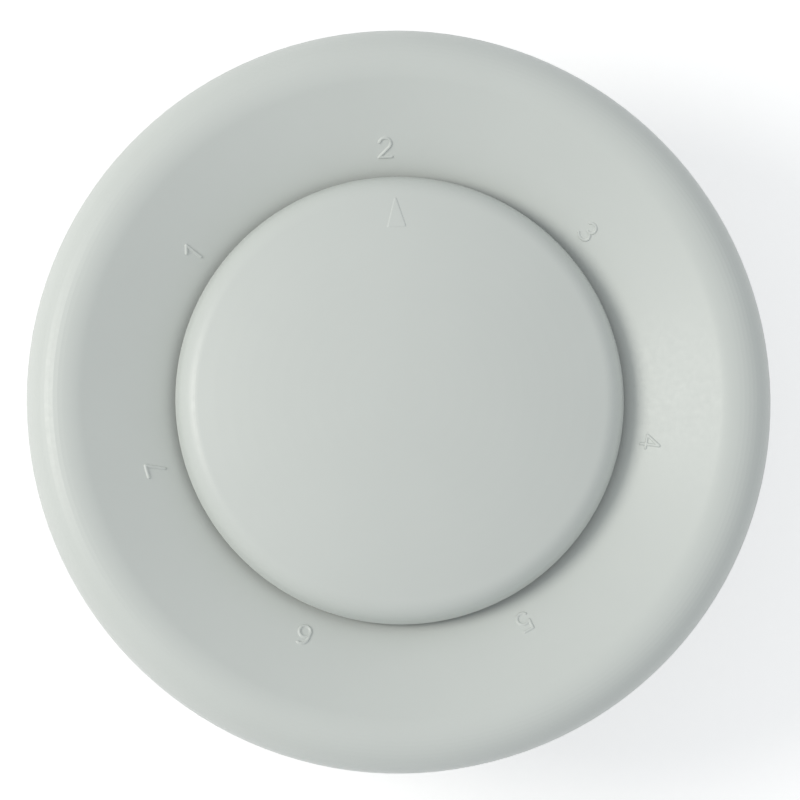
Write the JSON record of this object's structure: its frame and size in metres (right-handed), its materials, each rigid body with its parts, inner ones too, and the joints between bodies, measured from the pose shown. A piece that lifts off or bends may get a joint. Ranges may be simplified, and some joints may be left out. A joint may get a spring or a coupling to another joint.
{
  "type": "disc valve",
  "caption": "Round ceiling or wall disc valve for a ventilation duct: a rounded ring with a funnel, a screw-set middle disc, and a collar that it is pressed into.",
  "frame": {"origin": "on the valve's axis in the plane of the wall or ceiling face, where the back of the collar's flange lies", "axes": "+Z along the valve's axis, out of the wall into the room; +Y towards number 2 of the scale, where the disc's arrow points"},
  "size_m": [0.15, 0.15, 0.0626],
  "materials": {
    "white_plastic": "satin injection-moulded ABS",
    "white_acetal": "satin moulded acetal",
    "grey_foam": "closed-cell foam",
    "spring_steel": "rolled stainless strip",
    "zinc_steel": "zinc plated",
    "rivet_aluminium": "plain"
  },
  "bodies": {
    "mounting_collar": {"mounting_collar": "white_plastic"},
    "valve_ring": {"valve_ring": "white_plastic", "flange_gasket": "grey_foam", "spring_clip_1": "spring_steel", "spring_clip_2": "spring_steel", "spring_clip_3": "spring_steel", "clip_rivet_1": "rivet_aluminium", "clip_rivet_2": "rivet_aluminium", "clip_rivet_3": "rivet_aluminium"},
    "lock_washer": {"lock_washer": "white_acetal"},
    "lock_nut": {"lock_nut": "white_plastic"},
    "stop_washer": {"stop_washer": "zinc_steel"},
    "valve_disc": {"valve_disc": "white_plastic", "spindle": "white_acetal", "spindle_screw_1": "zinc_steel", "spindle_screw_2": "zinc_steel", "spindle_screw_3": "zinc_steel", "stop_screw": "zinc_steel"}
  },
  "joints": [
    {"name": "ring_pull", "type": "slide", "parent": "mounting_collar", "child": "valve_ring", "axis": [0, 0, 1], "range_m": [0, 0.045]},
    {"name": "disc_travel", "type": "slide", "parent": "valve_ring", "child": "stop_washer", "axis": [0, 0, 1], "range_m": [-0.00172, 0.00858]},
    {"name": "disc_turn", "type": "hinge", "parent": "stop_washer", "child": "valve_disc", "pos_m": [0, 0, 0], "axis": [0, 0, 1], "range_deg": [-51.4, 257.1]},
    {"name": "lock_nut_travel", "type": "slide", "parent": "valve_ring", "child": "lock_washer", "axis": [0, 0, 1], "range_m": [-0.00201, 0]},
    {"name": "lock_nut_turn", "type": "hinge", "parent": "lock_washer", "child": "lock_nut", "pos_m": [0, 0, -0.02], "axis": [0, 0, 1], "range_deg": [-60, 0]}
  ],
  "couplings": [
    {"joint": "disc_travel", "follows": "disc_turn", "m_per_rad": 0.0019099},
    {"joint": "lock_nut_travel", "follows": "lock_nut_turn", "m_per_rad": 0.0019099}
  ]
}
